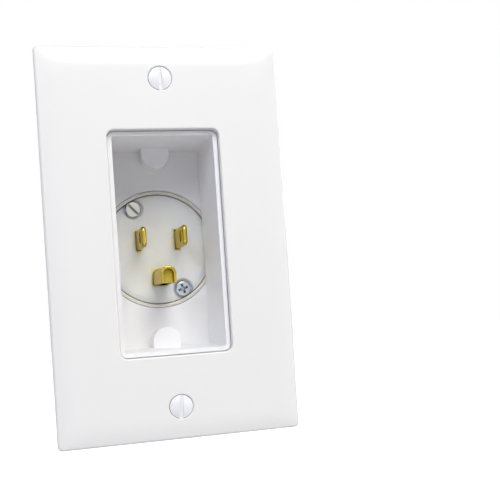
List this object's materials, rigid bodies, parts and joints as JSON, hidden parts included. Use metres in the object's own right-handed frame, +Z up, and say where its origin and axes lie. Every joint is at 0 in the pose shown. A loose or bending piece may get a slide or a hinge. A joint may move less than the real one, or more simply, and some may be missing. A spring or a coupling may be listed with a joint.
{
  "type": "recessed power inlet",
  "caption": "Recessed wall power inlet: a deep rectangular recess with a round three-pin male inlet in its back wall, under a screwed decorator wall plate.",
  "frame": {"origin": "centre of the wall plate's back, in the plane of the wall's face and midway between the two mounting slots", "axes": "+Z up, +X to the right seen from the front, +Y into the wall; the plate's face looks along -Y"},
  "size_m": [0.0718, 0.0557, 0.1162],
  "materials": {
    "plate_plastic": "smooth semi-gloss white moulded plastic",
    "housing_plastic": "satin white moulded plastic",
    "natural_nylon": "satin natural nylon, slightly translucent",
    "block_plastic": "matt white moulded plastic",
    "brass": "bright rolled brass",
    "painted_steel": "satin white paint",
    "nickel_plated_steel": "bright nickel plating",
    "zinc_plated_steel": "bright clear zinc plating",
    "green_steel": "green chromated steel"
  },
  "bodies": {
    "root": {"wall_plate": "plate_plastic", "plate_screw_upper": "painted_steel", "plate_screw_lower": "painted_steel", "recess_housing": "housing_plastic", "inlet_collar": "natural_nylon", "inlet_face": "natural_nylon", "line_blade": "brass", "neutral_blade": "brass", "ground_pin": "brass", "face_screw_upper": "nickel_plated_steel", "face_screw_lower": "zinc_plated_steel", "terminal_block": "block_plastic", "line_wire_clamp": "zinc_plated_steel", "line_terminal_screw": "brass", "neutral_wire_clamp": "zinc_plated_steel", "neutral_terminal_screw": "nickel_plated_steel", "ground_wire_clamp": "zinc_plated_steel", "ground_terminal_screw": "green_steel", "retaining_plate": "block_plastic", "retaining_screw_upper": "zinc_plated_steel", "retaining_screw_lower": "zinc_plated_steel", "rear_cover": "housing_plastic", "cable_clamp": "zinc_plated_steel", "cable_clamp_screw_upper": "zinc_plated_steel", "cable_clamp_screw_lower": "zinc_plated_steel"}
  },
  "joints": []
}
